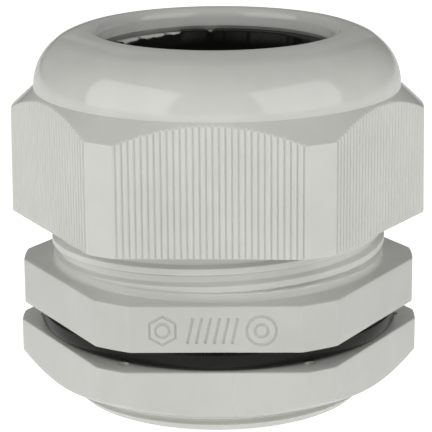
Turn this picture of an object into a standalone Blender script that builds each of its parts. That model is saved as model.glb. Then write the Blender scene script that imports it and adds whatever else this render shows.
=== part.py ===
"""Cable gland, M50 x 1.5, light grey polyamide: body, dome nut, claws, seal, gasket, locknut.

Metres, +Z up.  The origin is on the axis, in the plane of the entry thread's end
face, the lowest point of the object.  The entry thread points down, the cable
leaves through the dome nut at the top.  One flat of the body's hexagon faces -Y.
Every thread is right-handed.  Sizes below are millimetres, and heights are measured
from the body's shoulder, the underside of its hexagon; the parent empty lifts the
whole object by the length of the entry thread.
"""
import math
from contextlib import contextmanager

import bmesh
import bpy
from mathutils import Matrix

MM = 0.001

# ---- shared dimensions ------------------------------------------------------
PAST = 1.0               # how far a cutter or joined solid runs past a face
GAP = 0.1                # between shoulder and gasket, and gasket and locknut
SHARP_ANGLE = 30.0       # degrees, edges sharper than this are not smoothed

# Weld distances, metres
TURN_WELD = 1.0e-7       # turned profiles
CUT_WELD = 1.0e-6        # level cuts and filled outlines
JOIN_WELD = 2.0e-6       # thread turns and Boolean results

FINE = 48                # facets on plain round surfaces
BORE_FACETS = 40         # body bore and claw cage
SEAL_FACETS = 36

# ---- body -------------------------------------------------------------------
HEX_AF = 58.0            # hexagon across flats
HEX_CORNER_R = 31.8      # hexagon corners are turned to this radius
HEX_H = 7.4

ENTRY_R = 24.9           # M50 x 1.5 entry thread, crest
ENTRY_ROOT_R = 23.98
ENTRY_CREST_W = 0.25
ENTRY_FLANK_W = 0.55
ENTRY_END_Z = -14.6
ENTRY_TIP_R = 23.3       # the end of the thread is chamfered down to this
ENTRY_RELIEF_Z = -1.0    # plain relief between thread and shoulder
ENTRY_THREAD = dict(     # shared with the locknut
    lead=1.5,
    starts=1,
    phase_z=-6.05,       # height of a ridge centre on the -Y side
    facets=28,           # a turn
)

NECK_R = 26.9
NECK_TOP_Z = 8.6
CAP_R = 27.1             # coarse thread for the dome nut, crest
CAP_ROOT_R = 26.0
CAP_CREST_W = 1.0
CAP_THREAD = dict(       # shared with the dome nut
    lead=5.6,
    starts=2,
    flank_w=0.38,
    phase_z=9.4,         # height of a ridge centre on the -Y side
    facets=32,           # a turn
)
BODY_TOP_Z = 23.4

BORE_R = 19.5            # cable passage
BORE_END_R = BORE_R + 0.7    # widened at the entry end
SEAT_Z = 12.4            # step below the seal
SEAT_BORE_R = 22.3       # wider bore above the step
SEAT_MOUTH_R = SEAT_BORE_R + 0.4

# ---- dome nut ---------------------------------------------------------------
NUT_AF = 60.0
NUT_CORNER_R = 33.2
NUT_DRAFT = 0.25         # the corners are this much further out at the bottom
NUT_FOOT_R = NUT_CORNER_R + NUT_DRAFT
NUT_FOOT_CUT = 0.5       # bevel on the bottom of the corners
NUT_TURN = -1.5          # degrees, the nut's hexagon against the body's
NUT_BOTTOM_Z = 15.0
NUT_SHOULDER_Z = 32.36   # corners end here and the cone starts
NUT_CONE_SLOPE = 0.919   # rise per unit of radius on the cone
DOME_BASE_R = 29.46
DOME_BASE_Z = 36.2
DOME_A = 9.49            # elliptical shoulder, radial and axial half-axes
DOME_B = 8.7
DOME_END = 0.867         # ellipse parameter at its upper end, radians
DOME_STEPS = 5
CONE_TOP_R = DOME_BASE_R + 0.05
RIM_Z = 44.9
OPENING_R = 19.07
OPENING_LOW_Z = 41.5     # lower edge of the plain opening, where the 45 degree cone starts
CAVITY_R = 25.8          # below the inner cone
RECESS_R = 26.2          # above the internal thread
RIB_COUNT = 30           # grooves on each flat
RIB_PITCH = 0.95
RIB_GROOVE_W = 0.36
RIB_GROOVE_D = 0.35
NUT_THREAD_R = 27.45     # internal thread, root and crest
NUT_THREAD_CREST_R = 26.35
NUT_THREAD_PLAY = 0.4    # the cut ridge is this much wider than the body's
NUT_THREAD_TOP_Z = 31.4
NUT_RUN_OUT = 0.6        # half the height of the thread's upper run-out
NUT_MOUTH_R = NUT_THREAD_R + 0.3
NUT_LEAD_IN_Z = NUT_BOTTOM_Z + 0.9   # top of the plain entry that clears the body's neck

# ---- claw cage and fingers --------------------------------------------------
FINGERS = 20
FINGER_ARC = 15.5        # degrees each finger covers
FINGER_FACETS = 2
FINGER_PHASE = 2.2       # degrees, azimuth of the first finger
FINGER_ROOT_R = 22.45    # hinge line
FINGER_ROOT_Z = 29.9
CAGE_TOP_Z = 29.6
CAGE_FLANGE_R = 25.4
CAGE_FLANGE_Z = 28.4     # underside of the flange
CAGE_SKIRT_R = 22.0
CAGE_SKIRT_Z = 19.7
CAGE_BORE_R = 20.7

# ---- seal, gasket, locknut --------------------------------------------------
SEAL_BORE_R = 16.4
SEAL_R = 20.35
SEAL_FOOT_R = 21.9
SEAL_FOOT_Z = SEAT_Z + 0.3
SEAL_TOP_Z = 41.6

GASKET_R = 29.2
GASKET_FOOT_R = 27.9     # its lower edge is rounded in to this radius
GASKET_BORE_R = 25.3
GASKET_TOP_Z = -GAP
GASKET_BOTTOM_Z = -3.0

LOCK_AF = 58.4
LOCK_CORNER_R = 32.4
LOCK_TOP_Z = GASKET_BOTTOM_Z - GAP
LOCK_BOTTOM_Z = -10.3
LOCK_THREAD_R = 25.25    # internal thread, root and crest
LOCK_THREAD_CREST_R = 24.35
LOCK_CREST_W = 0.23
LOCK_FLANK_W = 0.54
LOCK_MOUTH_R = LOCK_THREAD_R + 0.1
LOCK_MOUTH_H = 0.9       # height of the countersink at each end of the thread
LOCK_CHAMFER_R = 29.1    # radius where the chamfer meets the underside
LOCK_CHAMFER_SLOPE = math.tan(math.radians(30))
DIMPLE_R = 28.75         # one shallow dimple at each corner of the upper face
DIMPLE_W = 1.5
DIMPLE_D = 0.4
DIMPLE_FACETS = 12

# ---- turned profiles: (radius, height), down the outer side first -----------
BODY_CORNERS = [
    (0, HEX_H + PAST), (HEX_CORNER_R, HEX_H + PAST), (HEX_CORNER_R, -PAST), (0, -PAST),
]
BODY_BORE = [
    (0, BODY_TOP_Z + PAST), (SEAT_MOUTH_R, BODY_TOP_Z + PAST),
    (SEAT_MOUTH_R, BODY_TOP_Z - 0.2), (SEAT_BORE_R, BODY_TOP_Z - 0.8),
    (SEAT_BORE_R, SEAT_Z), (BORE_R, SEAT_Z),
    (BORE_R, ENTRY_END_Z + 1.0), (BORE_END_R, ENTRY_END_Z + 0.3),
    (BORE_END_R, ENTRY_END_Z - PAST), (0, ENTRY_END_Z - PAST),
]
NUT_LIP = [
    (20.6, RIM_Z), (21.4, RIM_Z - 0.07), (22.3, RIM_Z - 0.24),
    (23.91, RIM_Z - 0.77), (25.0, RIM_Z - 1.27),
]
NUT_INSIDE = [
    (0, RIM_Z + PAST), (20.7, RIM_Z + PAST), (20.1, RIM_Z - 0.10), (19.5, RIM_Z - 0.45),
    (OPENING_R, RIM_Z - 1.2), (OPENING_R, OPENING_LOW_Z),
    (CAVITY_R, OPENING_LOW_Z - (CAVITY_R - OPENING_R)),
    (CAVITY_R, 33.2), (RECESS_R, 32.6),
    (RECESS_R, NUT_THREAD_TOP_Z - 1.5), (0, NUT_THREAD_TOP_Z - 1.5),
]
CAGE_PROFILE = [
    (24.0, CAGE_TOP_Z), (CAGE_FLANGE_R, CAGE_TOP_Z - 0.4),
    (CAGE_FLANGE_R, CAGE_FLANGE_Z), (CAGE_SKIRT_R, CAGE_FLANGE_Z),
    (CAGE_SKIRT_R, CAGE_SKIRT_Z + 0.6), (CAGE_SKIRT_R - 0.5, CAGE_SKIRT_Z),
    (CAGE_BORE_R, CAGE_SKIRT_Z), (CAGE_BORE_R, CAGE_TOP_Z - 0.4),
    (CAGE_BORE_R + 0.4, CAGE_TOP_Z),
]
FINGER_PROFILE = [
    (19.25, 41.05), (22.9, 35.2), (23.25, 31.4),
    (23.25, FINGER_ROOT_Z + 0.2), (23.05, FINGER_ROOT_Z),
    (21.85, FINGER_ROOT_Z), (21.65, FINGER_ROOT_Z + 0.2),
    (21.45, 34.6), (17.5, 40.75), (17.75, 41.25),
]
SEAL_PROFILE = [
    (16.85, SEAL_TOP_Z), (17.1, SEAL_TOP_Z - 0.25), (17.1, 40.6),
    (20.1, 34.4), (SEAL_R, 33.4), (SEAL_R, SEAT_Z + 2.0),
    (SEAL_FOOT_R, SEAT_Z + 1.6), (SEAL_FOOT_R, SEAL_FOOT_Z), (18.2, SEAL_FOOT_Z),
    (SEAL_BORE_R, SEAT_Z + 2.0), (SEAL_BORE_R, SEAL_TOP_Z - 0.3),
    (SEAL_BORE_R + 0.2, SEAL_TOP_Z),
]
GASKET_PROFILE = [
    (GASKET_R - 0.3, GASKET_TOP_Z), (GASKET_R, GASKET_TOP_Z - 0.3),
    (GASKET_R, GASKET_BOTTOM_Z + 1.3), (GASKET_R - 0.2, GASKET_BOTTOM_Z + 0.7),
    (GASKET_R - 0.7, GASKET_BOTTOM_Z + 0.2), (GASKET_FOOT_R, GASKET_BOTTOM_Z),
    (GASKET_BORE_R, GASKET_BOTTOM_Z), (GASKET_BORE_R, GASKET_TOP_Z),
]
LOCK_OUTSIDE = [
    (0, LOCK_TOP_Z + PAST), (LOCK_CORNER_R, LOCK_TOP_Z + PAST),
    (LOCK_CORNER_R, LOCK_BOTTOM_Z + (LOCK_CORNER_R - LOCK_CHAMFER_R) * LOCK_CHAMFER_SLOPE),
    (LOCK_CHAMFER_R - PAST, LOCK_BOTTOM_Z - PAST * LOCK_CHAMFER_SLOPE),
    (0, LOCK_BOTTOM_Z - PAST),
]


def nut_outside():
    """From the rim down: lip, shallow cone, elliptical shoulder, cone, corner radius."""
    points = [(0, RIM_Z)] + NUT_LIP
    for i in range(DOME_STEPS + 1):
        angle = DOME_END * (1 - i / DOME_STEPS)
        points.append((
            DOME_BASE_R - DOME_A + DOME_A * math.cos(angle),
            DOME_BASE_Z + DOME_B * math.sin(angle),
        ))
    return points + [
        (CONE_TOP_R, NUT_SHOULDER_Z + (NUT_CORNER_R - CONE_TOP_R) * NUT_CONE_SLOPE),
        (NUT_CORNER_R, NUT_SHOULDER_Z),
        (NUT_FOOT_R, NUT_BOTTOM_Z + 0.5),
        (NUT_FOOT_R - NUT_FOOT_CUT, NUT_BOTTOM_Z - 0.1),
        (NUT_FOOT_R - NUT_FOOT_CUT, NUT_BOTTOM_Z - 2 * PAST),
        (0, NUT_BOTTOM_Z - 2 * PAST),
    ]


# ---- objects and meshes -----------------------------------------------------
def new_collection(name):
    collection = bpy.data.collections.new(name)
    bpy.context.scene.collection.children.link(collection)
    return collection


def material(name, colour, roughness):
    mat = bpy.data.materials.new(name)
    mat.use_nodes = True
    inputs = mat.node_tree.nodes["Principled BSDF"].inputs
    inputs["Base Color"].default_value = (*colour, 1.0)
    inputs["Roughness"].default_value = roughness
    inputs["Metallic"].default_value = 0.0
    mat.diffuse_color = (*colour, 1.0)
    return mat


def add_object(name, data):
    obj = bpy.data.objects.new(name, data)
    bpy.context.scene.collection.objects.link(obj)
    return obj


def add_bmesh(name, work):
    mesh = bpy.data.meshes.new(name)
    work.to_mesh(mesh)
    work.free()
    return add_object(name, mesh)


def move_to(obj, collection):
    for current in list(obj.users_collection):
        current.objects.unlink(obj)
    collection.objects.link(obj)


def evaluated_mesh(obj):
    bpy.context.view_layer.update()
    depsgraph = bpy.context.evaluated_depsgraph_get()
    return bpy.data.meshes.new_from_object(obj.evaluated_get(depsgraph))


def bake(obj):
    """Replaces an object's mesh by its evaluated mesh and drops the modifiers."""
    mesh = evaluated_mesh(obj)
    old = obj.data
    obj.modifiers.clear()
    obj.data = mesh
    bpy.data.meshes.remove(old)


@contextmanager
def editing(obj, weld):
    """Opens an object's mesh welded, and writes it back with its normals outward."""
    work = bmesh.new()
    work.from_mesh(obj.data)
    bmesh.ops.remove_doubles(work, verts=work.verts, dist=weld)
    yield work
    bmesh.ops.recalc_face_normals(work, faces=work.faces)
    work.to_mesh(obj.data)
    work.free()


def tidy(obj, weld):
    with editing(obj, weld):
        pass


def fill_holes(work):
    bmesh.ops.holes_fill(work, edges=[e for e in work.edges if e.is_boundary], sides=0)


def sweep(name, profile, facets, closed=False, arc=360.0, climb=0.0, turns=1):
    """A (radius, height) profile swept about Z from +X, climbing by a height each turn."""
    work = bmesh.new()
    verts = [work.verts.new((radius * MM, 0.0, z * MM)) for radius, z in profile]
    for pair in zip(verts, verts[1:]):
        work.edges.new(pair)
    if closed:
        work.edges.new((verts[-1], verts[0]))
    obj = add_bmesh(name, work)
    screw = obj.modifiers.new("turn", "SCREW")
    screw.angle = math.radians(arc)
    screw.screw_offset = climb * MM
    screw.iterations = turns
    screw.steps = screw.render_steps = facets
    screw.use_merge_vertices = climb == 0.0
    screw.merge_threshold = TURN_WELD
    screw.use_smooth_shade = False
    bake(obj)
    return obj


def turned(name, profile, facets=FINE, arc=360.0, closed=True):
    """A solid of revolution; a partial arc is capped and centred on +X.

    A closed profile joins its last point to its first; an open one starts and
    ends on the axis.
    """
    obj = sweep(name, profile, facets, closed, arc)
    with editing(obj, TURN_WELD) as work:
        if arc < 360.0:
            fill_holes(work)
            centring = Matrix.Rotation(math.radians(-arc / 2), 3, "Z")
            bmesh.ops.rotate(work, verts=work.verts, cent=(0, 0, 0), matrix=centring)
    return obj


def radius_at(z, points):
    """Straight-line lookup of a radius in a list of (height, radius) points."""
    if z <= points[0][0]:
        return points[0][1]
    for (z0, radius0), (z1, radius1) in zip(points, points[1:]):
        if z <= z1:
            return radius0 + (radius1 - radius0) * (z - z0) / (z1 - z0)
    return points[-1][1]


def threaded_rod(name, crest_r, root_r, crest_w, z0, z1, *, lead, starts, flank_w, phase_z,
                 facets, upper=((0.0, math.inf),), lower=((0.0, 0.0),)):
    """A solid rod with a right-handed trapezoidal thread between two heights.

    One lead of the profile climbs one lead a turn, so each turn meets the next.
    The ends are then cut level and capped.  upper and lower are (height, radius)
    limits that shape chamfers and run-outs.
    """
    turns = int(math.ceil((z1 - z0) / lead)) + 2
    base = phase_z - 0.75 * lead             # the -Y side is three quarters of a turn on
    base -= math.ceil((base - (z0 - lead)) / lead) * lead
    points = []
    for start in range(starts):
        centre = start * (lead / starts)
        points += [
            (root_r, centre - crest_w / 2 - flank_w),
            (crest_r, centre - crest_w / 2),
            (crest_r, centre + crest_w / 2),
            (root_r, centre + crest_w / 2 + flank_w),
        ]
    points.append((root_r, lead - crest_w / 2 - flank_w))
    profile = [(radius, base + z) for radius, z in reversed(points)]
    obj = sweep(name, profile, facets, climb=lead, turns=turns)
    with editing(obj, JOIN_WELD) as work:
        for z, way in ((z0, -1), (z1, 1)):
            bmesh.ops.bisect_plane(
                work, geom=work.verts[:] + work.edges[:] + work.faces[:], dist=CUT_WELD,
                plane_co=(0, 0, z * MM), plane_no=(0, 0, way), clear_outer=True,
            )
        for vert in work.verts:
            radius = math.hypot(vert.co.x, vert.co.y)
            z = vert.co.z / MM
            limited = min(max(radius, radius_at(z, lower) * MM), radius_at(z, upper) * MM)
            vert.co.x *= limited / radius
            vert.co.y *= limited / radius
        bmesh.ops.remove_doubles(work, verts=work.verts, dist=CUT_WELD)
        bmesh.ops.dissolve_degenerate(work, edges=work.edges, dist=CUT_WELD)
        fill_holes(work)
    return obj


def hexagon(name, across_flats, z0, z1):
    """A hexagonal prism with a flat facing -Y."""
    radius = across_flats / 2 / math.cos(math.pi / 6) * MM
    work = bmesh.new()
    bmesh.ops.create_cone(
        work, cap_ends=True, segments=6, radius1=radius, radius2=radius, depth=(z1 - z0) * MM,
    )
    bmesh.ops.translate(work, verts=work.verts, vec=(0, 0, (z0 + z1) / 2 * MM))
    obj = add_bmesh(name, work)
    lowest_y = min(vert.co.y for vert in obj.data.vertices)
    if abs(lowest_y + radius) < 1.0e-6:      # a corner faces -Y, so turn to a flat
        obj.data.transform(Matrix.Rotation(math.pi / 6, 4, "Z"))
    return obj


def ribbed_outline():
    """The nut's hexagon as (x, y) points, with a row of V grooves on each flat."""
    apothem = NUT_AF / 2
    flat = [(-apothem * math.tan(math.pi / 6), -apothem)]
    for k in range(RIB_COUNT):
        x = (k - (RIB_COUNT - 1) / 2) * RIB_PITCH
        flat += [
            (x - RIB_GROOVE_W / 2, -apothem),
            (x, -apothem + RIB_GROOVE_D),
            (x + RIB_GROOVE_W / 2, -apothem),
        ]
    outline = []
    for side in range(6):
        cos, sin = math.cos(math.radians(60 * side)), math.sin(math.radians(60 * side))
        outline += [(x * cos - y * sin, x * sin + y * cos) for x, y in flat]
    return outline


def ribbed_hexagon(name, z0, z1):
    """The ribbed outline extruded as a flat curve and turned to the nut's position."""
    outline = ribbed_outline()
    curve = bpy.data.curves.new(name, "CURVE")
    curve.dimensions = "2D"
    curve.fill_mode = "BOTH"
    curve.render_resolution_u = 0
    curve.extrude = (z1 - z0) / 2 * MM
    spline = curve.splines.new("POLY")
    spline.points.add(len(outline) - 1)
    for point, (x, y) in zip(spline.points, outline):
        point.co = (x * MM, y * MM, 0.0, 1.0)
    spline.use_cyclic_u = True
    guide = add_object(name + "_outline", curve)
    mesh = evaluated_mesh(guide)
    mesh.name = name
    bpy.data.objects.remove(guide, do_unlink=True)
    obj = add_object(name, mesh)
    tidy(obj, CUT_WELD)
    lift = Matrix.Translation((0, 0, (z0 + z1) / 2 * MM))
    mesh.transform(lift @ Matrix.Rotation(math.radians(NUT_TURN), 4, "Z"))
    return obj


def boolean(obj, other, operation):
    move_to(other, cutters)
    other.hide_render = True
    other.display_type = "WIRE"
    modifier = obj.modifiers.new(other.name, "BOOLEAN")
    modifier.operation = operation
    modifier.solver = "EXACT"
    modifier.object = other


def smooth(mesh):
    mesh.shade_smooth()
    mesh.set_sharp_from_angle(angle=math.radians(SHARP_ANGLE))


def finish(obj, mat):
    """Bakes the Booleans, welds their rounding, and puts the piece in its collection."""
    bake(obj)
    tidy(obj, JOIN_WELD)
    smooth(obj.data)
    move_to(obj, parts)
    obj.data.materials.clear()
    obj.data.materials.append(mat)


# ---- pieces -----------------------------------------------------------------
def build_body(mat):
    body = hexagon("gland_body", HEX_AF, 0.0, HEX_H)
    boolean(body, turned("body_corner_turning", BODY_CORNERS, closed=False), "INTERSECT")
    cap_thread = threaded_rod(
        "cap_thread", CAP_R, CAP_ROOT_R, CAP_CREST_W, HEX_H - PAST, BODY_TOP_Z, **CAP_THREAD,
        upper=[
            (NECK_TOP_Z, NECK_R), (NECK_TOP_Z + 0.4, CAP_R),
            (BODY_TOP_Z - 1.2, CAP_R), (BODY_TOP_Z, CAP_ROOT_R - 0.05),
        ],
        lower=[(NECK_TOP_Z, NECK_R), (NECK_TOP_Z + 0.6, CAP_ROOT_R - 0.4)],
    )
    boolean(body, cap_thread, "UNION")
    entry_thread = threaded_rod(
        "entry_thread", ENTRY_R, ENTRY_ROOT_R, ENTRY_CREST_W, ENTRY_END_Z, PAST,
        flank_w=ENTRY_FLANK_W, **ENTRY_THREAD,
        upper=[
            (ENTRY_END_Z, ENTRY_TIP_R), (ENTRY_END_Z + 1.5, ENTRY_R),
            (ENTRY_RELIEF_Z - 0.5, ENTRY_R), (ENTRY_RELIEF_Z, ENTRY_ROOT_R),
        ],
    )
    boolean(body, entry_thread, "UNION")
    bore = turned("body_bore", BODY_BORE, facets=BORE_FACETS, closed=False)
    boolean(body, bore, "DIFFERENCE")
    finish(body, mat)


def build_nut(mat):
    nut = ribbed_hexagon("dome_nut", NUT_BOTTOM_Z, RIM_Z + PAST)
    boolean(nut, turned("nut_outside", nut_outside(), closed=False), "INTERSECT")
    boolean(nut, turned("nut_inside", NUT_INSIDE, closed=False), "DIFFERENCE")
    thread = threaded_rod(
        "nut_thread", NUT_THREAD_R, NUT_THREAD_CREST_R, CAP_CREST_W + NUT_THREAD_PLAY,
        NUT_BOTTOM_Z - PAST, NUT_THREAD_TOP_Z + NUT_RUN_OUT, **CAP_THREAD,
        upper=[
            (NUT_BOTTOM_Z, NUT_MOUTH_R), (NUT_LEAD_IN_Z, NUT_THREAD_R),
            (NUT_THREAD_TOP_Z - NUT_RUN_OUT, NUT_THREAD_R),
            (NUT_THREAD_TOP_Z + NUT_RUN_OUT, NUT_THREAD_CREST_R + 0.05),
        ],
        lower=[
            (NUT_BOTTOM_Z, NUT_MOUTH_R), (NUT_LEAD_IN_Z, NUT_THREAD_R - 0.02),
            (NUT_LEAD_IN_Z + 1.0, NUT_THREAD_CREST_R),
        ],
    )
    boolean(nut, thread, "DIFFERENCE")
    finish(nut, mat)


def build_fingers(mat):
    """A ring of fingers that share one mesh, each with its origin on the hinge line."""
    pattern = turned("clamp_finger", FINGER_PROFILE, facets=FINGER_FACETS, arc=FINGER_ARC)
    mesh = pattern.data
    mesh.transform(Matrix.Translation((-FINGER_ROOT_R * MM, 0, -FINGER_ROOT_Z * MM)))
    mesh.materials.append(mat)
    smooth(mesh)
    for k in range(FINGERS):
        azimuth = math.radians(FINGER_PHASE + 360.0 / FINGERS * k)
        finger = bpy.data.objects.new(f"clamp_finger_{k + 1:02d}", mesh)
        finger.location = (
            FINGER_ROOT_R * MM * math.cos(azimuth),
            FINGER_ROOT_R * MM * math.sin(azimuth),
            FINGER_ROOT_Z * MM,
        )
        finger.rotation_euler = (0.0, 0.0, azimuth)
        parts.objects.link(finger)
    bpy.data.objects.remove(pattern, do_unlink=True)


def dimple_cutter(k):
    """A cone, point down, half sunk in the locknut's upper face, DIMPLE_W wide there."""
    work = bmesh.new()
    bmesh.ops.create_cone(
        work, cap_ends=True, segments=DIMPLE_FACETS,
        radius1=0.2 * DIMPLE_W * MM, radius2=0.8 * DIMPLE_W * MM, depth=2 * DIMPLE_D * MM,
    )
    place = Matrix.Translation((DIMPLE_R * MM, 0, LOCK_TOP_Z * MM))
    turn = Matrix.Rotation(math.radians(60 * k), 4, "Z")
    bmesh.ops.transform(work, verts=work.verts, matrix=turn @ place)
    return add_bmesh(f"lock_dimple_{k + 1}", work)


def build_locknut(mat):
    lock = hexagon("locknut", LOCK_AF, LOCK_BOTTOM_Z, LOCK_TOP_Z)
    boolean(lock, turned("lock_outside", LOCK_OUTSIDE, closed=False), "INTERSECT")
    for k in range(6):
        boolean(lock, dimple_cutter(k), "DIFFERENCE")
    thread = threaded_rod(
        "lock_thread", LOCK_THREAD_R, LOCK_THREAD_CREST_R, LOCK_CREST_W,
        LOCK_BOTTOM_Z - PAST, LOCK_TOP_Z + PAST, flank_w=LOCK_FLANK_W, **ENTRY_THREAD,
        lower=[
            (LOCK_BOTTOM_Z, LOCK_MOUTH_R), (LOCK_BOTTOM_Z + LOCK_MOUTH_H, LOCK_THREAD_CREST_R),
            (LOCK_TOP_Z - LOCK_MOUTH_H, LOCK_THREAD_CREST_R), (LOCK_TOP_Z, LOCK_MOUTH_R),
        ],
    )
    boolean(lock, thread, "DIFFERENCE")
    finish(lock, mat)


def add_parent():
    """One empty at the shoulder carries every piece."""
    pieces = list(parts.objects)
    parent = bpy.data.objects.new("cable_gland_shoulder", None)
    parent.location = (0.0, 0.0, -ENTRY_END_Z * MM)
    parts.objects.link(parent)
    for piece in pieces:
        piece.parent = parent


# ---- build ------------------------------------------------------------------
for old_object in list(bpy.data.objects):
    bpy.data.objects.remove(old_object, do_unlink=True)

parts = new_collection("cable_gland")
cutters = new_collection("cutters")

body_grey = material("polyamide_body", colour=(0.60, 0.61, 0.59), roughness=0.42)
nut_grey = material("polyamide_nut", colour=(0.62, 0.63, 0.61), roughness=0.40)
claw_grey = material("polyamide_claws", colour=(0.58, 0.59, 0.57), roughness=0.50)
lock_grey = material("polyamide_locknut", colour=(0.61, 0.62, 0.60), roughness=0.42)
seal_black = material("seal_elastomer", colour=(0.012, 0.012, 0.013), roughness=0.62)
gasket_black = material("gasket_rubber", colour=(0.015, 0.015, 0.016), roughness=0.68)

build_body(body_grey)
build_nut(nut_grey)
finish(turned("claw_cage", CAGE_PROFILE, facets=BORE_FACETS), claw_grey)
build_fingers(claw_grey)
finish(turned("seal_ring", SEAL_PROFILE, facets=SEAL_FACETS), seal_black)
finish(turned("gasket", GASKET_PROFILE), gasket_black)
build_locknut(lock_grey)
add_parent()
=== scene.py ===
"""A plastic cable gland standing upright on Z, with a flat of its hexagons facing -Y.

From the bottom: entry thread with locknut and gasket, hexagonal body, ribbed dome nut. Inside
the nut, a ring of claws grips a black sleeve seal. Shapes are in millimetres, with heights from
the underside of the body's hexagon; place() lifts each piece into the frame.
"""
import math

import bmesh
import bpy
import numpy as np
from mathutils import Matrix, Vector


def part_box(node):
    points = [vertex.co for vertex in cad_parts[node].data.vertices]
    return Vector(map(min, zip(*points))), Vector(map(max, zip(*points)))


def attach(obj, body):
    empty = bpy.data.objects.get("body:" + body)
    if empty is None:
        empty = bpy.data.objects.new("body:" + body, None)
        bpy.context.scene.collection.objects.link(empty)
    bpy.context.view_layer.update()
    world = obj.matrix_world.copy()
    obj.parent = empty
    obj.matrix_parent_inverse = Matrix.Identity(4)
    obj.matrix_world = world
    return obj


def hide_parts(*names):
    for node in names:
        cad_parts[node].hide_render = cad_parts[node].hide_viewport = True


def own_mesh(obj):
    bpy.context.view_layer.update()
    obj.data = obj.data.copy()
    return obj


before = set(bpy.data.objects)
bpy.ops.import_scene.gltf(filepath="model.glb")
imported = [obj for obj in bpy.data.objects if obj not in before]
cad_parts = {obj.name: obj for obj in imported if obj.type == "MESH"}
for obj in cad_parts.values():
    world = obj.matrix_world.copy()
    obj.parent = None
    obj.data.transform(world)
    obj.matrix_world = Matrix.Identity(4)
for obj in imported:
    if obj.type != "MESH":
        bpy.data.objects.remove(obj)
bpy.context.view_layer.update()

MM = 0.001
LIFT = 14.6                      # underside of the body's hexagon above the frame's origin
TAU = 2 * math.pi
FRONT = 1.5 * math.pi            # azimuth of the -Y side
EVEN = np.arange(288) * TAU / 288
ROUNDING = (0.5, 1.05, math.pi / 2)      # angles of the steps round a small edge
scene = bpy.context.scene

pieces = bpy.data.collections.new("cable_gland_visual")
scene.collection.children.link(pieces)


# --------------------------------------------------------------------------
# mesh building
# --------------------------------------------------------------------------
def to_mesh(bm, name):
    mesh = bpy.data.meshes.new(name)
    bm.to_mesh(mesh)
    bm.free()
    return mesh


def weld(mesh, distance):
    """Merges coincident points (distance in metres) and turns the faces outward."""
    bm = bmesh.new()
    bm.from_mesh(mesh)
    bmesh.ops.remove_doubles(bm, verts=bm.verts, dist=distance)
    bmesh.ops.recalc_face_normals(bm, faces=bm.faces)
    bm.to_mesh(mesh)
    bm.free()


def smooth(obj, angle=32.0):
    obj.data.shade_smooth()
    obj.data.set_sharp_from_angle(angle=math.radians(angle))


class Skin:
    """Rings of points round Z, joined into a mesh."""

    def __init__(self):
        self.points, self.count, self.quads, self.tris = [], 0, [], []

    def ring(self, angles, radius, z):
        radius, z = (np.broadcast_to(value, angles.shape) for value in (radius, z))
        first = self.count
        self.points.append(np.stack([radius * np.cos(angles), radius * np.sin(angles), z], 1))
        self.count += len(angles)
        return np.arange(first, self.count)

    def bridge(self, a, b):
        """Quads between two rings with the same number of points."""
        self.quads.append(np.stack([a, np.roll(a, -1), np.roll(b, -1), b], 1))

    def rings(self, angles, profile, start=None):
        """Rings from (radius, z) pairs, each joined to the one before. Returns first and last."""
        made = [] if start is None else [start]
        made += [self.ring(angles, radius, z) for radius, z in profile]
        for a, b in zip(made, made[1:]):
            self.bridge(a, b)
        return made[0], made[-1]

    def stitch(self, a, angles_a, b, angles_b):
        """Triangles between rings with different numbers of points, matched by angle."""
        i = j = 0
        count_a, count_b = len(a), len(b)
        faces = []
        while i < count_a or j < count_b:
            next_a = angles_a[(i + 1) % count_a] + (TAU if i + 1 >= count_a else 0.0)
            next_b = angles_b[(j + 1) % count_b] + (TAU if j + 1 >= count_b else 0.0)
            if j >= count_b or (i < count_a and next_a <= next_b):
                faces.append((a[i % count_a], a[(i + 1) % count_a], b[j % count_b]))
                i += 1
            else:
                faces.append((a[i % count_a], b[(j + 1) % count_b], b[j % count_b]))
                j += 1
        self.tris.append(np.array(faces))

    def helix(self, angles, low, high, thread, radius):
        """A band between two heights whose rows climb with the thread.

        radius(angles, z) gives the surface. Returns the lower and upper rings."""
        pitch, starts, per_pitch = thread.pitch, thread.starts, len(thread.rows)
        centre = thread.phase + thread.climb(angles)
        below = math.ceil((centre.max() - low) / pitch) + starts + 1
        above = math.ceil((high - centre.min()) / pitch) + starts + 1
        row = np.arange((above + below) * per_pitch)
        offsets = np.asarray(thread.rows)[row % per_pitch]
        raw = centre[:, None] + (row // per_pitch - below)[None, :] * pitch + offsets[None, :]
        snap = 0.02              # rows this near an end ring are merged into it
        at_low, at_high = raw <= low + snap, raw >= high - snap
        bottom = self.ring(angles, radius(angles, low), low)
        top = self.ring(angles, radius(angles, high), high)
        between = ~(at_low | at_high)
        index = np.where(at_low, bottom[:, None], top[:, None])
        azimuth = np.broadcast_to(angles[:, None], raw.shape)[between]
        z = raw[between]
        index[between] = self.ring(azimuth, radius(azimuth, z), z)
        # after a full turn each row meets the one a whole lead higher
        shift = starts * per_pitch
        wrapped = np.concatenate([index[0, shift:], np.full(shift, top[0])])
        following = np.vstack([index[1:], wrapped[None, :]])
        corners = [index[:, :-1], following[:, :-1], following[:, 1:], index[:, 1:]]
        quads = np.stack(corners, 2).reshape(-1, 4)
        left, right = quads[:, 0] == quads[:, 3], quads[:, 1] == quads[:, 2]
        self.quads.append(quads[~left & ~right])
        self.tris.append(quads[left & ~right][:, [0, 1, 2]])
        self.tris.append(quads[~left & right][:, [0, 1, 3]])
        return bottom, top

    def to_object(self, name, sharp=32.0):
        points = np.concatenate(self.points) * MM
        faces = [face for block in self.quads + self.tris for face in block.tolist()]
        mesh = bpy.data.meshes.new(name)
        mesh.from_pydata(points.tolist(), [], faces)
        mesh.validate()
        weld(mesh, 1.0e-7)
        obj = bpy.data.objects.new(name, mesh)
        pieces.objects.link(obj)
        smooth(obj, sharp)
        return obj


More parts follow.
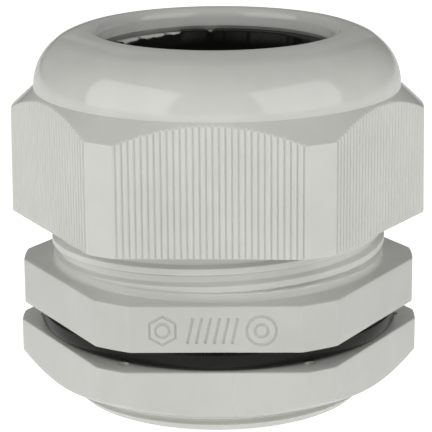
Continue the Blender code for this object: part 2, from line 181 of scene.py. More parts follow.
def closed_ring(name, profile, sharp):
    """A solid ring turned from a closed outline of (radius, z)."""
    skin = Skin()
    first, last = skin.rings(EVEN, profile)
    skin.bridge(last, first)
    return skin.to_object(name, sharp)


def carve(obj, meshes):
    """Cuts closed meshes that don't touch each other out of a piece, in one Boolean."""
    bm = bmesh.new()
    for mesh in meshes:
        bm.from_mesh(mesh)
    cutter = bpy.data.objects.new("tool", to_mesh(bm, "tool"))
    scene.collection.objects.link(cutter)
    mod = obj.modifiers.new("carve", "BOOLEAN")
    mod.operation = "DIFFERENCE"
    mod.solver = "EXACT"
    mod.object = cutter
    obj_mesh = evaluated_mesh(obj)
    obj.modifiers.clear()
    obj.data = obj_mesh
    bpy.data.objects.remove(cutter, do_unlink=True)
    smooth(obj)
    return obj


def evaluated_mesh(obj):
    bpy.context.view_layer.update()
    evaluated = obj.evaluated_get(bpy.context.evaluated_depsgraph_get())
    return bpy.data.meshes.new_from_object(evaluated)


# --------------------------------------------------------------------------
# curves and blends
# --------------------------------------------------------------------------
def smoothstep(t):
    t = np.clip(t, 0.0, 1.0)
    return t * t * (3 - 2 * t)


def lerp(a, b, t):
    return a * (1 - t) + b * t


def softmin(a, b, width):
    """The lesser of two radii with the edge between them rounded over about width."""
    h = np.clip(0.5 + 0.5 * (b - a) / width, 0.0, 1.0)
    return b * (1 - h) + a * h - width * h * (1 - h)


def arc_points(centre_r, centre_z, radius, start, end, steps):
    """Points of an arc in the (radius, z) plane, angles in degrees."""
    turns = [math.radians(start + (end - start) * i / steps) for i in range(steps + 1)]
    return [(centre_r + radius * math.cos(a), centre_z + radius * math.sin(a)) for a in turns]


def waves(angles, table):
    """A sum of sine waves round the ring, from (count, phase, height)."""
    return sum(height * np.sin(count * angles + phase) for count, phase, height in table)


# --------------------------------------------------------------------------
# hexagons: a flat is centred on FRONT
# --------------------------------------------------------------------------
def sextant_columns(marks):
    """Sorted azimuths in [0, 2 pi) from offsets in radians about each of the six flats."""
    azimuths = [(FRONT + side * math.pi / 3 + m) % TAU for side in range(6) for m in marks]
    azimuths = np.unique(np.round(np.array(azimuths), 9))
    return azimuths[np.append(np.diff(azimuths) > 1.0e-6, True)]


def flat_offset(angles):
    """Signed angle from the nearest flat's centre."""
    return (angles - FRONT + math.pi / 6) % (math.pi / 3) - math.pi / 6


def hexagon_columns(apothem, corner_r):
    """Azimuths gathered where the flats meet the round corners."""
    edge = math.acos(apothem / corner_r)
    inner = np.linspace(0, edge - 0.02, 14)
    steps = [-0.012, -0.008, -0.005, -0.0025, 0.0, 0.0025, 0.005, 0.008, 0.012]
    outer = np.linspace(edge + 0.02, math.pi / 6, 7)
    half = np.concatenate([inner, edge + np.array(steps), outer])
    return sextant_columns(np.concatenate([-half, half]))


def hexagon_radius(angles, apothem, corner_r, width=0.10):
    return softmin(apothem / np.cos(flat_offset(angles)), corner_r, width)


# --------------------------------------------------------------------------
# threads
# --------------------------------------------------------------------------
class Thread:
    """A right-handed thread; rows are mesh row heights inside one pitch, from the ridge centre."""

    def __init__(self, lead, starts, phase, crest_half, flank, steps, valley):
        self.lead, self.starts, self.phase = lead, starts, phase
        self.pitch = lead / starts
        self.crest_half, self.flank = crest_half, flank
        self.rows = sorted([-x for x in steps] + list(steps) + [0.0, valley])

    def climb(self, angles):
        return self.lead * (angles - FRONT) / TAU

    def surface(self, angles, z, root, crest, crest_half=None):
        """Radius of the ridges at an azimuth and height."""
        raised = z - self.phase - self.climb(angles)
        offset = (raised + self.pitch / 2) % self.pitch - self.pitch / 2
        beyond = np.abs(offset) - (crest_half or self.crest_half)
        return root + (crest - root) * (1.0 - smoothstep(beyond / self.flank))


CAP_THREAD = Thread(      # between body and dome nut
    lead=5.6, starts=2, phase=9.4, crest_half=0.44, flank=0.50, valley=1.39,
    steps=(0.15, 0.32, 0.44, 0.50, 0.56, 0.62, 0.69, 0.76, 0.83, 0.89, 0.95, 1.05, 1.22))
ENTRY_THREAD = Thread(    # between body and locknut
    lead=1.5, starts=1, phase=-6.05, crest_half=0.10, flank=0.60, valley=0.75,
    steps=(0.08, 0.16, 0.24, 0.33, 0.42, 0.51, 0.59, 0.67))


# --------------------------------------------------------------------------
# body
# --------------------------------------------------------------------------
HEX_APOTHEM, HEX_CORNER_R, HEX_H = 29.0, 31.8, 7.4
HEX_EDGE = 0.22                          # rounding of the hexagon's rims
NECK_R, NECK_TOP, NECK_FILLET = 26.9, 8.6, 0.35
CAP_CREST, CAP_ROOT, BODY_TOP = 27.1, 26.0, 23.4
ENTRY_CREST, ENTRY_ROOT, ENTRY_END = 24.9, 24.0, -LIFT
BORE_R, SEAT_Z, SEAT_R = 19.5, 12.4, 22.3
# (radius, z) from the top rim down the inside to the entry end
BODY_INSIDE = [
    (SEAT_R + 0.45, BODY_TOP), (SEAT_R + 0.15, BODY_TOP - 0.15), (SEAT_R, BODY_TOP - 0.5),
    (SEAT_R, 18.0), (SEAT_R, SEAT_Z + 0.3), (SEAT_R - 0.1, SEAT_Z + 0.1),
    (SEAT_R - 0.3, SEAT_Z), (BORE_R + 0.4, SEAT_Z), (BORE_R + 0.1, SEAT_Z - 0.12),
    (BORE_R, SEAT_Z - 0.4), (BORE_R, 4.0), (BORE_R, -4.0), (BORE_R, ENTRY_END + 1.1),
    (BORE_R + 0.25, ENTRY_END + 0.55), (BORE_R + 0.7, ENTRY_END + 0.12),
    (BORE_R + 1.0, ENTRY_END)]


def cap_surface(angles, z):
    """Plain neck, then thread, with a chamfer at the top."""
    radius = CAP_THREAD.surface(angles, z, CAP_ROOT, CAP_CREST)
    radius = lerp(NECK_R, radius, smoothstep((z - NECK_TOP) / 0.45))
    return np.minimum(radius, CAP_ROOT - 0.1 + np.maximum(BODY_TOP - z, 0) * 0.95)


def entry_surface(angles, z):
    """Thread running out under the hexagon, with a chamfer at the lower end."""
    radius = ENTRY_THREAD.surface(angles, z, ENTRY_ROOT, ENTRY_CREST)
    radius = lerp(ENTRY_ROOT - 0.05, radius, smoothstep((-1.0 - z) / 0.5))
    return np.minimum(radius, 23.28 + np.maximum(z - ENTRY_END, 0) * 1.07)


def make_body():
    skin = Skin()
    angles = hexagon_columns(HEX_APOTHEM, HEX_CORNER_R)
    edge = HEX_EDGE
    profile = [(-1.2, 0.0), (-edge, 0.0)]        # (outward offset from the hexagon, z)
    profile += [(-edge + edge * math.sin(a), edge - edge * math.cos(a)) for a in ROUNDING]
    profile += [(0.0, z) for z in (1.4, 2.6, 3.8, 5.0, 6.2)]
    profile += [(-edge + edge * math.cos(a), HEX_H - edge + edge * math.sin(a))
                for a in (0.0, *ROUNDING)]
    profile += [(-1.2, HEX_H)]
    base = hexagon_radius(angles, HEX_APOTHEM, HEX_CORNER_R)
    under, over = skin.rings(angles, [(base + offset, z) for offset, z in profile])

    fillet = arc_points(NECK_R + NECK_FILLET, HEX_H + NECK_FILLET, NECK_FILLET, 270, 180, 4)
    first, last = skin.rings(EVEN, fillet)
    skin.stitch(over, angles, first, EVEN)
    thread_low = HEX_H + NECK_FILLET + 0.05
    low, top = skin.helix(EVEN, thread_low, BODY_TOP, CAP_THREAD, cap_surface)
    skin.bridge(last, low)
    _, last = skin.rings(EVEN, BODY_INSIDE, start=top)
    low, top = skin.helix(EVEN, ENTRY_END, -0.35, ENTRY_THREAD, entry_surface)
    skin.bridge(last, low)
    runout = [(ENTRY_ROOT + 0.05, -0.15), (ENTRY_ROOT + 0.25, 0.0)]
    _, last = skin.rings(EVEN, runout, start=top)
    skin.stitch(last, EVEN, under, angles)
    return carve(skin.to_object("gland_body_shell"), pictogram())


def stroke(points, closed, width=0.50):
    """A round-bottomed engraving tool swept along (x, z) on the front flat, as a closed mesh."""
    curve = bpy.data.curves.new("stroke", "CURVE")
    curve.dimensions = "3D"
    curve.bevel_depth = width / 2 * MM
    curve.bevel_resolution = 3
    curve.use_fill_caps = True
    spline = curve.splines.new("POLY")
    spline.points.add(len(points) - 1)
    for point, (x, z) in zip(spline.points, points):
        point.co = (x * MM, (-HEX_APOTHEM - 0.02) * MM, z * MM, 1.0)
    spline.use_cyclic_u = closed
    obj = bpy.data.objects.new("stroke", curve)
    scene.collection.objects.link(obj)
    mesh = evaluated_mesh(obj)
    bpy.data.objects.remove(obj, do_unlink=True)
    weld(mesh, 1.0e-6)
    return mesh


def pictogram():
    """A hexagon round a circle, six slanted strokes, and two circles, left to right."""
    centre_z, size = 3.55, 2.25

    def polygon(x, radius, sides, start=0.0):
        turns = [start + i * TAU / sides for i in range(sides)]
        return [(x + radius * math.cos(a), centre_z + radius * math.sin(a)) for a in turns]

    tools = [stroke(polygon(-8.1, size, 6, math.pi / 6), True),
             stroke(polygon(-8.1, 1.05, 24), True)]
    for i in range(6):
        x, half = -3.9 + i * 1.35, size * 0.9
        tools.append(stroke([(x - 0.45, centre_z - half), (x + 0.45, centre_z + half)], False))
    return tools + [stroke(polygon(6.9, radius, 36), True) for radius in (size, 1.0)]


# --------------------------------------------------------------------------
# dome nut
# --------------------------------------------------------------------------
NUT_APOTHEM, NUT_CORNER_R, NUT_BOTTOM = 30.0, 33.2, 15.0
NUT_TURN, NUT_DRAFT = math.radians(-1.5), 0.25
NUT_EDGE = 0.28                          # rounded lower edge
RIB_COUNT, RIB_PITCH, RIB_TOP = 30, 0.967, 35.79
GROOVE_HALF, GROOVE_DEPTH, CROWN = 0.25, 0.24, 0.03
SHOULDER, SLOPE = 32.36, 0.919           # cone above the corners: height, fall per mm of radius
CREASE_Z = 35.83                         # between the cone and the dome
DOME_R, DOME_Z, DOME_WIDTH, DOME_HEIGHT, DOME_SWEEP = 29.46, 36.2, 9.49, 8.7, 0.867
RIM, OPENING_R, OPENING_LOW = 44.9, 19.07, 41.85
# (radius, depth below the rim) from the dome over the lip into the opening
LIP = [(25.55, 1.60), (25.0, 1.27), (24.46, 1.00), (23.91, 0.77), (23.3, 0.55), (22.8, 0.38),
       (22.3, 0.24), (21.8, 0.13), (21.3, 0.06), (20.8, 0.015), (20.4, 0.0), (20.05, 0.06),
       (19.72, 0.2), (19.45, 0.42), (19.25, 0.72), (19.12, 1.1), (OPENING_R, 1.5)]
NUT_BORE = [(25.8, 33.4), (25.95, 33.0), (26.3, 32.6), (26.3, 32.2)]     # (radius, z)


def rib_columns():
    edge = math.acos(NUT_APOTHEM / NUT_CORNER_R)
    marks = []
    for k in range(RIB_COUNT):
        x = (k - (RIB_COUNT - 1) / 2) * RIB_PITCH
        marks += [math.atan((x + offset) / NUT_APOTHEM) for offset in
                  (-0.34, -0.25, -0.19, -0.13, -0.06, 0.0, 0.06, 0.13, 0.19, 0.25, 0.34)]
    marks = [m for m in marks if abs(m) < edge - 0.0008]
    corner = [edge + e for e in (0.0, 0.003, 0.006, 0.010, 0.018, 0.03, 0.045, 0.06)]
    corner.append(math.pi / 6)
    return sextant_columns(marks + corner + [-c for c in corner])


def groove_depth(angles):
    """Depth of the upright grooves at an azimuth, measured square to the flat."""
    number = NUT_APOTHEM * np.tan(flat_offset(angles)) / RIB_PITCH + (RIB_COUNT - 1) / 2
    distance = np.abs(number - np.round(number)) * RIB_PITCH
    ribbed = (number > -0.5) & (number < RIB_COUNT - 0.5)
    crown = CROWN * smoothstep((0.30 - (RIB_PITCH / 2 - distance)) / 0.30)
    t = np.clip(distance / GROOVE_HALF, 0.0, 1.0)
    cut = GROOVE_DEPTH * (1 - t) * (1 + 0.35 * t)
    return np.where(ribbed, cut + crown, 0.0)


def dome_radius(z):
    """Radius of the cone above the corners, and of the dome above the crease."""
    cone = NUT_CORNER_R - (z - SHOULDER) / SLOPE
    t = np.arcsin(np.clip((z - DOME_Z) / DOME_HEIGHT, 0.0, 1.0))
    return np.where(z < CREASE_Z, cone, DOME_R - DOME_WIDTH + DOME_WIDTH * np.cos(t))


def nut_thread(angles, z):
    radius = CAP_THREAD.surface(angles, z, 26.38, 27.42, crest_half=0.64)
    radius = lerp(26.35, radius, smoothstep((31.9 - z) / 0.7))
    # chamfered mouth
    flare = 0.25 * np.clip(NUT_BOTTOM + 0.3 - z, 0, 0.3) / 0.3
    return np.maximum(radius, 27.45 + flare - np.maximum(z - NUT_BOTTOM - 0.95, 0) * 1.1)


def nut_sides(angles):
    """(radius, z) rows up the ribbed flats, from the lower edge to under the crease."""
    groove = groove_depth(angles)
    flat_stretch = np.cos(flat_offset(angles))

    def corner(z):
        rise = np.clip((SHOULDER - z) / (SHOULDER - NUT_BOTTOM), 0.0, 0.97)
        return NUT_CORNER_R + NUT_DRAFT * rise

    def ribbed(z):
        return softmin((NUT_APOTHEM - groove) / flat_stretch, corner(z), 0.08)

    def capped(z):
        return softmin(ribbed(z), dome_radius(z), 0.16)

    plain = hexagon_radius(angles, NUT_APOTHEM, NUT_CORNER_R, 0.08)
    foot = softmin(NUT_APOTHEM / flat_stretch, corner(NUT_BOTTOM), 0.08)
    arc_z = SHOULDER + (NUT_CORNER_R - plain) * SLOPE        # where the cone cuts the sides
    rows = []
    for a in (0.0, 0.35, 0.7, 1.05, 1.3, math.pi / 2):       # grooves fade out into the edge
        t = math.sin(a)
        radius = foot - NUT_EDGE + NUT_EDGE * t - groove * smoothstep((t - 0.2) / 0.8)
        rows.append((radius, NUT_BOTTOM + NUT_EDGE - NUT_EDGE * math.cos(a)))
    for f in (0.04, 0.2, 0.4, 0.6, 0.8, 0.97):
        z = NUT_BOTTOM + NUT_EDGE + (arc_z - 0.75 - NUT_BOTTOM - NUT_EDGE) * f
        rows.append((ribbed(z), z))
    for offset in (-0.6, -0.42, -0.3, -0.22, -0.15, -0.09, -0.04,
                   0.0, 0.04, 0.09, 0.15, 0.21, 0.28, 0.35):
        rows.append((capped(arc_z + offset), arc_z + offset))
    start = arc_z + 0.35
    for f in (0.15, 0.35, 0.55, 0.75, 0.9, 0.97, 1.0):
        z = start + (RIB_TOP - start) * f
        rows.append((capped(z), z))
    return rows


def make_nut():
    skin = Skin()
    angles = rib_columns()
    turned = angles + NUT_TURN
    first, last = skin.rings(turned, nut_sides(angles))

    profile = [(DOME_R + 0.02, CREASE_Z), (DOME_R, 35.95)]
    for i in range(25):
        t = DOME_SWEEP * i / 24
        profile.append((DOME_R - DOME_WIDTH + DOME_WIDTH * math.cos(t),
                        DOME_Z + DOME_HEIGHT * math.sin(t)))
    profile += [(radius, RIM - depth) for radius, depth in LIP]
    cone_r, cone_z = OPENING_R + 0.13, OPENING_LOW - 0.04    # top of the inner cone
    profile += [(OPENING_R, 42.6), (OPENING_R, OPENING_LOW + 0.12),
                (OPENING_R + 0.04, OPENING_LOW + 0.03), (cone_r, cone_z)]
    profile += [(cone_r + (NUT_BORE[0][0] - cone_r) * f, cone_z - 6.95 * f)
                for f in (0.25, 0.5, 0.75, 0.97, 1.0)]
    crease, bore = skin.rings(EVEN, profile + NUT_BORE)
    skin.stitch(last, turned, crease, EVEN)
    low, top = skin.helix(EVEN, NUT_BOTTOM, 31.95, CAP_THREAD, nut_thread)
    skin.bridge(bore, top)
    skin.stitch(low, EVEN, first, turned)
    return skin.to_object("dome_nut_shell", 30.0)


# --------------------------------------------------------------------------
# locknut
# --------------------------------------------------------------------------
LOCK_APOTHEM, LOCK_CORNER_R, LOCK_TOP, LOCK_BOTTOM = 29.2, 32.4, -3.1, -10.3
LOCK_UNDER_R, LOCK_EDGE, LOCK_MOUTH_R = 29.1, 0.2, 25.3
DIMPLE_R = 28.75                 # distance of the corner dimples from the axis


def lock_thread(angles, z):
    radius = ENTRY_THREAD.surface(angles, z, 24.35, 25.22)
    radius = np.maximum(radius, LOCK_MOUTH_R - np.maximum(z - LOCK_BOTTOM, 0))
    return np.maximum(radius, LOCK_MOUTH_R - np.maximum(LOCK_TOP - z, 0))


def make_locknut():
    skin = Skin()
    angles = hexagon_columns(LOCK_APOTHEM, LOCK_CORNER_R)
    base = hexagon_radius(angles, LOCK_APOTHEM, LOCK_CORNER_R, 0.12)
    slope = math.tan(math.radians(30))
    # where the turned chamfer meets the side
    chamfer_z = LOCK_BOTTOM + np.maximum(base - LOCK_UNDER_R, 0) * slope
    edge = LOCK_EDGE
    rows = [(base - 1.3, LOCK_TOP), (base - edge, LOCK_TOP)]
    rows += [(base - edge + edge * math.sin(a), LOCK_TOP - edge + edge * math.cos(a))
             for a in ROUNDING]

    def side(z):
        draft = 0.006 * (LOCK_TOP - z)
        cone = LOCK_UNDER_R + (z - LOCK_BOTTOM) / slope
        return softmin(base - draft, cone, 0.16), z

    lowest = LOCK_BOTTOM + 0.02
    for f in (0.15, 0.4, 0.65, 0.88):
        rows.append(side(LOCK_TOP - edge + (chamfer_z + 0.7 - LOCK_TOP + edge) * f))
    for offset in (0.55, 0.4, 0.28, 0.18, 0.1, 0.04, 0.0, -0.05, -0.12, -0.2, -0.3):
        rows.append(side(np.maximum(chamfer_z + offset, lowest + 0.002 * (offset + 0.3))))
    start = np.maximum(chamfer_z - 0.3, lowest)
    for f in (0.4, 0.75, 1.0):
        rows.append(side(start + (lowest - start) * f))
    rows.append((LOCK_UNDER_R - 0.25, LOCK_BOTTOM))
    over, under = skin.rings(angles, rows)
    low, top = skin.helix(EVEN, LOCK_BOTTOM, LOCK_TOP, ENTRY_THREAD, lock_thread)
    skin.stitch(under, angles, low, EVEN)
    skin.stitch(top, EVEN, over, angles)
    return carve(skin.to_object("locknut_shell"), [dimple(k) for k in range(6)])


def dimple(k):
    """The tool for one shallow dimple at a corner of the locknut's upper face."""
    bm = bmesh.new()
    bmesh.ops.create_uvsphere(bm, u_segments=24, v_segments=16, radius=1.0)
    bmesh.ops.scale(bm, verts=bm.verts, vec=(0.82 * MM, 0.92 * MM, 0.85 * MM))
    outward = Matrix.Translation((DIMPLE_R * MM, 0, (LOCK_TOP + 0.05) * MM))
    matrix = Matrix.Rotation(math.radians(60 * k), 4, "Z") @ outward
    bmesh.ops.transform(bm, verts=bm.verts, matrix=matrix)
    return to_mesh(bm, "dimple")


# --------------------------------------------------------------------------
# gasket, seal, claws
# --------------------------------------------------------------------------
def box_heights(node):
    """Bottom and top of a solid's box, in this script's millimetres."""
    return [(corner / MM - Vector((0, 0, LIFT))).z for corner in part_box(node)]


GASKET_BOTTOM, GASKET_TOP = box_heights("gasket")
SEAL_FOOT, SEAL_BOX_TOP = box_heights("seal_ring")
SEAL_OUTER = [(20.33, 33.4), (20.28, 33.9), (20.06, 34.4), (19.3, 35.9), (18.5, 37.4),
              (17.8, 38.7), (17.3, 39.6)]        # (radius, z), upward
# (radius, z) down the grooved bore, then (radius, height above the foot) round the flange
SEAL_BORE = [(16.42, 39.5), (16.4, 38.6), (16.62, 38.2), (16.62, 37.6), (16.4, 37.2),
             (16.4, 35.8), (16.62, 35.4), (16.62, 34.8), (16.4, 34.4), (16.4, 33.0),
             (16.62, 32.6), (16.62, 32.0), (16.4, 31.6), (16.4, 28.0), (16.4, 22.0)]
SEAL_FLANGE = [(16.4, 2.4), (16.6, 1.9), (18.1, 0.3), (18.5, 0.0), (21.5, 0.0), (21.85, 0.15),
               (21.9, 0.5), (21.85, 1.1), (21.6, 1.35), (20.7, 1.6), (20.4, 1.8), (20.33, 2.2)]
CAGE_PROFILE = [                                 # (radius, z), closed
    (24.0, 29.6), (24.9, 29.55), (25.3, 29.3), (25.4, 29.0), (25.4, 28.6), (25.25, 28.45),
    (25.0, 28.4), (22.2, 28.4), (22.0, 28.2), (22.0, 24.0), (22.0, 20.4), (21.85, 20.0),
    (21.6, 19.75), (21.3, 19.7), (20.95, 19.72), (20.75, 19.85), (20.7, 20.1), (20.7, 24.0),
    (20.7, 29.1), (20.8, 29.4), (21.1, 29.6)]
CLAW_PROFILE = [                                 # (radius, z), closed, from the tip's outside
    (19.25, 41.05), (22.9, 35.2), (23.22, 33.6), (23.25, 31.6), (23.0, 30.2), (23.0, 29.9),
    (21.9, 29.9), (21.9, 30.2), (21.66, 31.6), (21.62, 33.6), (21.45, 34.6), (20.55, 36.05),
    (20.05, 36.55), (19.95, 37.0), (19.3, 38.0), (18.8, 38.5), (18.7, 38.95), (17.95, 40.05),
    (17.55, 40.6), (17.52, 40.95), (17.75, 41.25)]
CLAW_COUNT, CLAW_ARC, CLAW_SLICES = 20, math.radians(15.5), 7


def make_gasket():
    top, bottom, outer, inner = GASKET_TOP, GASKET_BOTTOM, 29.16, 25.3
    edge = 0.3
    profile = arc_points(outer - edge, top - edge, edge, 90, 0, 4)
    profile += [(outer + 0.02, top - 0.8), (outer + 0.03, top - 1.2),
                (outer + 0.01, bottom + 1.45)]
    for i in range(1, 9):                        # wide rounding of the lower edge
        a = math.pi / 2 * i / 8
        profile.append((outer - 1.25 + 1.25 * math.cos(a), bottom + 1.2 - 1.2 * math.sin(a)))
    profile += [(27.0, bottom), (inner + 0.25, bottom), (inner, bottom + 0.25),
                (inner, (top + bottom) / 2), (inner, top - 0.25), (inner + 0.25, top),
                (27.0, top)]
    return closed_ring("gasket_ring_soft", profile, 40)


def make_seal():
    """The black sleeve: thick at its foot, thinning to a lip with a slightly uneven edge."""
    rag = waves(EVEN, [(7, 0.6, 0.035), (13, 2.1, 0.03), (29, 0.3, 0.025), (53, 0.0, 0.015)])
    start, end = math.radians(110), math.radians(158)        # a worn stretch of the lip
    worn = smoothstep((EVEN - start) / 0.05) * smoothstep((end - EVEN) / 0.05)
    along = np.clip((EVEN - start) / math.radians(48), 0, 1)
    uneven = waves(EVEN, [(17, 1.0, 0.09), (41, 0.4, 0.09), (97, 0.0, 0.05)])
    worn = worn * (0.44 + 0.24 * along + uneven)
    worn = worn + 0.30 * np.exp(-((EVEN - math.radians(94.3)) / 0.022) ** 2)     # a small nick
    flare = 1.72 * (1 - smoothstep(worn / 0.07))     # the lip turns out over the claw tips
    top = SEAL_BOX_TOP - 0.105
    lip = [(17.1, 40.3 - worn * 0.45), (17.12, top - 0.45 - worn),
           (17.12 + flare * 0.12, top - 0.20 - worn), (17.13 + flare * 0.94, top - 0.14 - worn),
           (17.14 + flare, top - 0.09 - worn), (17.12 + flare, top - 0.04 - worn),
           (17.08 + flare * 0.92, top + rag * 0.3 - worn),
           (16.95 + flare * 0.4, top + rag * 0.7 - worn), (16.85 + rag * 0.3, top + rag - worn),
           (16.62, top - 0.02 + rag - worn), (16.46, top - 0.16 + rag * 0.6 - worn * 0.9)]
    flange = [(radius, SEAL_FOOT + rise) for radius, rise in SEAL_FLANGE]
    profile = SEAL_OUTER + lip + SEAL_BORE + flange + [(20.33, 22.0), (20.33, 28.0)]
    return closed_ring("seal_sleeve", profile, 50)


def make_cage():
    return closed_ring("claw_cage_ring", CAGE_PROFILE, 40)


def claw_mesh():
    """One claw: upright at its root, then leaning in to a blunt toothed tip."""
    bm = bmesh.new()
    slices = []
    for i in range(CLAW_SLICES + 1):
        a = -CLAW_ARC / 2 + CLAW_ARC * i / CLAW_SLICES
        slices.append([bm.verts.new((radius * math.cos(a), radius * math.sin(a), z))
                       for radius, z in CLAW_PROFILE])
    count = len(CLAW_PROFILE)
    for u, v in zip(slices, slices[1:]):
        for j in range(count):
            k = (j + 1) % count
            bm.faces.new((u[j], u[k], v[k], v[j]))
    bm.faces.new(slices[0][::-1])
    bm.faces.new(slices[-1])
    bmesh.ops.recalc_face_normals(bm, faces=bm.faces)
    creases = [edge for edge in bm.edges
               if len(edge.link_faces) == 2 and edge.calc_face_angle() > math.radians(28)]
    bmesh.ops.bevel(bm, geom=creases, offset=0.11, segments=2, affect="EDGES", profile=0.6,
                    clamp_overlap=True)
    bmesh.ops.recalc_face_normals(bm, faces=bm.faces)
    bmesh.ops.scale(bm, verts=bm.verts, vec=(MM, MM, MM))
    return to_mesh(bm, "claw")


# --------------------------------------------------------------------------
# materials (texture scales are per metre, bump distances in metres)
# --------------------------------------------------------------------------
class Shader:
    """Adds nodes to a tree; an input given a socket is linked, any other is set."""

    def __init__(self, tree):
        self.tree = tree

    def feed(self, node, inputs):
        for name, value in inputs.items():
            if isinstance(value, bpy.types.NodeSocket):
                self.tree.links.new(value, node.inputs[name])
            else:
                node.inputs[name].default_value = value

    def new(self, kind, output, inputs=None, **settings):
        """Adds a node and returns one of its output sockets."""
        node = self.tree.nodes.new("ShaderNode" + kind)
        for name, value in settings.items():
            setattr(node, name, value)
        self.feed(node, inputs or {})
        return node.outputs[output]

    def noise(self, scale, detail, roughness):
        position = self.new("TexCoord", "Object")
        return self.new("TexNoise", "Fac", {
            "Vector": position, "Scale": scale, "Detail": detail, "Roughness": roughness})

    def remap(self, value, low=0.0, high=1.0, to_low=0.0, to_high=1.0):
        return self.new("MapRange", "Result", {
            "Value": value, "From Min": low, "From Max": high,
            "To Min": to_low, "To Max": to_high})

    def mix(self, factor, a, b, blend="MIX"):
        return self.new("Mix", "Result", {"Factor": factor, "A": a, "B": b},
                        data_type="RGBA", blend_type=blend)


def new_material(name):
    """A material with its Shader and its Principled node."""
    material = bpy.data.materials.new(name)
    material.use_nodes = True
    tree = material.node_tree
    return material, Shader(tree), tree.nodes["Principled BSDF"]


def scaled(colour, gain):
    return tuple(min(1.0, c * gain) for c in colour)


def polyamide(name, colour, roughness, band=None):
    """Moulded polyamide: satin skin with fine grain, faint flow marks and paler edges.

    band is (low, high, shade): between these heights the skin is darker by the shade, a painted
    shade standing in for the dimmer light there.
    """
    material, shader, bsdf = new_material(name)
    grain = shader.noise(scale=5200.0, detail=3.0, roughness=0.6)
    flow = shader.noise(scale=85.0, detail=4.0, roughness=0.55)
    broad = shader.noise(scale=22.0, detail=2.0, roughness=0.5)
    skin = shader.mix(shader.remap(flow, low=0.30, high=0.70),
                      (*scaled(colour, 0.955), 1), (*scaled(colour, 1.03), 1))
    pointiness = shader.new("NewGeometry", "Pointiness")
    edge = shader.remap(pointiness, low=0.505, high=0.60, to_high=0.35)
    skin = shader.mix(edge, skin, (*scaled(colour, 1.12), 1))
    # painted shade: the colour between two heights is multiplied darker in place of real shade
    if band:
        low, high, shade = band
        position = shader.new("TexCoord", "Object")
        z = shader.new("SeparateXYZ", "Z", {"Vector": position})
        above = shader.remap(z, low=(low + LIFT) * MM, high=(low + 0.2 + LIFT) * MM)
        below = shader.remap(z, low=(high + LIFT) * MM, high=(high + 0.5 + LIFT) * MM,
                             to_low=1.0, to_high=0.0)
        inside = shader.new("Math", "Value", {0: above, 1: below}, operation="MULTIPLY")
        skin = shader.mix(inside, skin, (shade, shade, shade, 1), blend="MULTIPLY")
    rough = shader.remap(broad, to_low=roughness - 0.05, to_high=roughness + 0.05)
    flow_bump = shader.new("Bump", "Normal", {
        "Strength": 0.05, "Distance": 0.00004, "Height": flow})
    bump = shader.new("Bump", "Normal", {
        "Strength": 0.10, "Distance": 0.00002, "Height": grain, "Normal": flow_bump})
    shader.feed(bsdf, {
        "Base Color": skin, "Roughness": rough, "Normal": bump,
        "IOR": 1.52, "Specular IOR Level": 0.5, "Subsurface Weight": 0.06,
        "Subsurface Radius": (1.0, 0.9, 0.8), "Subsurface Scale": 0.0006})
    material.diffuse_color = (*colour, 1)
    return material


def rubber(name, colour, roughness, bump, specular):
    """Black moulded rubber: matt, faintly mottled, with a fine pebbled skin."""
    material, shader, bsdf = new_material(name)
    fine = shader.noise(scale=2600.0, detail=3.0, roughness=0.65)
    bloom = shader.noise(scale=110.0, detail=4.0, roughness=0.6)
    shader.feed(bsdf, {
        "Base Color": shader.mix(bloom, (*scaled(colour, 0.75), 1), (*scaled(colour, 1.45), 1)),
        "Roughness": shader.remap(bloom, to_low=roughness - 0.08, to_high=roughness + 0.08),
        "Normal": shader.new("Bump", "Normal", {
            "Strength": bump, "Distance": 0.00004, "Height": fine}),
        "Specular IOR Level": specular})
    material.diffuse_color = (*colour, 1)
    return material


GREY = (0.642, 0.648, 0.614)
MATERIALS = {
    # painted shade: the body's colour is darkened (x 0.885) over its hexagon's height
    "body_polyamide": polyamide(
        "moulded_polyamide_body", GREY, roughness=0.25, band=(-0.3, HEX_H, 0.885)),
    "nut_polyamide": polyamide("moulded_polyamide_nut", GREY, roughness=0.11),
    "claw_polyamide": polyamide("moulded_polyamide_claw", scaled(GREY, 0.97), roughness=0.45),
    # painted shade: the locknut's copy of the grey is darkened (x 0.945) to stand in for shade
    "locknut_polyamide": polyamide(
        "moulded_polyamide_locknut", scaled(GREY, 0.945), roughness=0.26),
    "seal_elastomer": rubber("black_elastomer", (0.0045, 0.0045, 0.004),
                             roughness=0.45, bump=0.15, specular=0.15),
    "gasket_rubber": rubber("black_gasket_rubber", (0.0055, 0.0055, 0.005),
                            roughness=0.27, bump=0.10, specular=0.24),
}


# --------------------------------------------------------------------------
# assembly
# --------------------------------------------------------------------------
def place(obj, body, slot, node):
    obj.data.transform(Matrix.Translation((0, 0, LIFT * MM)))
    obj.data.materials.clear()
    obj.data.materials.append(MATERIALS[slot])
    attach(obj, body)
    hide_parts(node)


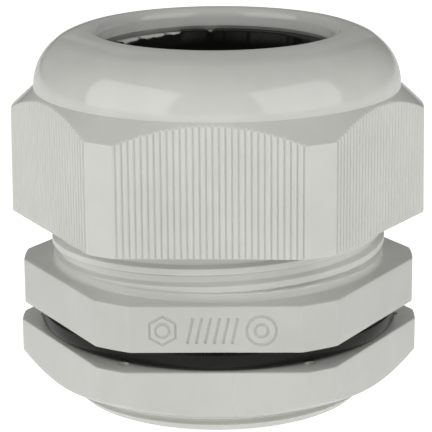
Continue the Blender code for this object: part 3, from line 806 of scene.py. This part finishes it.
for make, node, slot in ((make_body, "gland_body", "body_polyamide"),
                         (make_nut, "dome_nut", "nut_polyamide"),
                         (make_locknut, "locknut", "locknut_polyamide"),
                         (make_gasket, "gasket", "gasket_rubber"),
                         (make_cage, "claw_cage", "claw_polyamide")):
    place(make(), node, slot, node)
claw = claw_mesh()
for k in range(CLAW_COUNT):
    finger = bpy.data.objects.new(f"claw_{k + 1:02d}", claw.copy())
    pieces.objects.link(finger)
    finger.matrix_world = Matrix.Rotation(math.radians(2.2 + 360 / CLAW_COUNT * k), 4, "Z")
    smooth(finger, 35)
    place(finger, f"finger_{k + 1:02d}", "claw_polyamide", f"clamp_finger_{k + 1:02d}")
seal = make_seal()
place(seal, "seal_ring", "seal_elastomer", "seal_ring")
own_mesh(seal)


# --------------------------------------------------------------------------
# stage, light, camera (metres)
# --------------------------------------------------------------------------
def make_floor():
    """A pale floor that glows, more strongly to the camera than to the object."""
    bm = bmesh.new()
    bmesh.ops.create_grid(bm, x_segments=1, y_segments=1, size=6.0)
    floor = bpy.data.objects.new("floor", to_mesh(bm, "floor"))
    floor.location.z = -0.0064      # clear of the locknut screwed down past the thread end
    scene.collection.objects.link(floor)
    material, shader, bsdf = new_material("pale_floor")
    shader.feed(bsdf, {"Base Color": (0.86, 0.86, 0.855, 1), "Roughness": 0.85,
                       "Specular IOR Level": 0.15})
    camera_ray = shader.new("LightPath", "Is Camera Ray")
    strength = shader.new("Math", 0, {0: camera_ray, 1: 0.45, 2: 0.40},
                          operation="MULTIPLY_ADD")
    glow = shader.new("Emission", "Emission", {"Color": (1, 1, 1, 1), "Strength": strength})
    both = shader.new("AddShader", 0, {0: bsdf.outputs["BSDF"], 1: glow})
    shader.feed(shader.tree.nodes["Material Output"], {"Surface": both})
    floor.data.materials.append(material)


def make_world():
    """A studio that looks white to the camera but lights the object only dimly."""
    world = bpy.data.worlds.new("studio")
    world.use_nodes = True
    scene.world = world
    shader = Shader(world.node_tree)
    camera_ray = shader.new("LightPath", "Is Camera Ray")
    shader.feed(world.node_tree.nodes["Background"], {
        "Color": (1.0, 1.0, 0.99, 1),
        "Strength": shader.remap(camera_ray, to_low=0.135, to_high=1.15)})


def softbox(name, azimuth, elevation, distance, size, radiance, rise=0.0):
    """A rectangular light facing the object, moved up its own plane by rise.

    Azimuth 0 is on the camera's side, positive to the right; size is (width, height)."""
    light = bpy.data.lights.new(name, "AREA")
    light.shape = "RECTANGLE"
    width, height = light.size, light.size_y = size
    light.energy = width * height * math.pi * radiance
    light.color = (1.0, 1.0, 0.985)
    obj = bpy.data.objects.new(name, light)
    a, e = math.radians(azimuth), math.radians(elevation)
    target = Vector((0, 0, 0.030))
    way = Vector((math.sin(a) * math.cos(e), -math.cos(a) * math.cos(e), math.sin(e)))
    up = Vector((-math.sin(a) * math.sin(e), math.cos(a) * math.sin(e), math.cos(e)))
    obj.location = target + way * distance + up * rise
    obj.rotation_mode = "QUATERNION"
    obj.rotation_quaternion = way.to_track_quat("Z", "Y")
    scene.collection.objects.link(obj)


def make_camera():
    data = bpy.data.cameras.new("camera")
    camera = bpy.data.objects.new("camera", data)
    scene.collection.objects.link(camera)
    data.sensor_width = 36.0
    data.lens = 168.7
    data.shift_x = -0.0046296
    data.clip_start, data.clip_end = 0.01, 30.0
    pitch, swing, roll = (math.radians(a) for a in (15.138, 0.84, -0.40))
    distance, aim_z = 0.33115, 0.013683 + LIFT * MM
    reach = distance * math.cos(pitch)
    camera.location = (reach * math.sin(swing), -reach * math.cos(swing),
                       aim_z + distance * math.sin(pitch))
    turn = (Matrix.Rotation(swing, 3, "Z") @ Matrix.Rotation(math.pi / 2 - pitch, 3, "X")
            @ Matrix.Rotation(roll, 3, "Z"))
    camera.rotation_mode = "QUATERNION"
    camera.rotation_quaternion = turn.to_quaternion()
    scene.camera = camera


make_floor()
make_world()
softbox("softbox_left", azimuth=-57, elevation=17, distance=0.60, size=(0.64, 0.54),
        radiance=1.97, rise=0.07)
softbox("softbox_right", azimuth=54, elevation=17, distance=0.60, size=(0.60, 0.54),
        radiance=1.86, rise=0.07)
softbox("back_left", azimuth=-150, elevation=25, distance=0.70, size=(0.40, 0.50),
        radiance=0.13)
softbox("back_middle", azimuth=180, elevation=25, distance=0.70, size=(0.40, 0.50),
        radiance=0.20)
make_camera()
scene.view_settings.view_transform = "Standard"
scene.view_settings.look = "None"
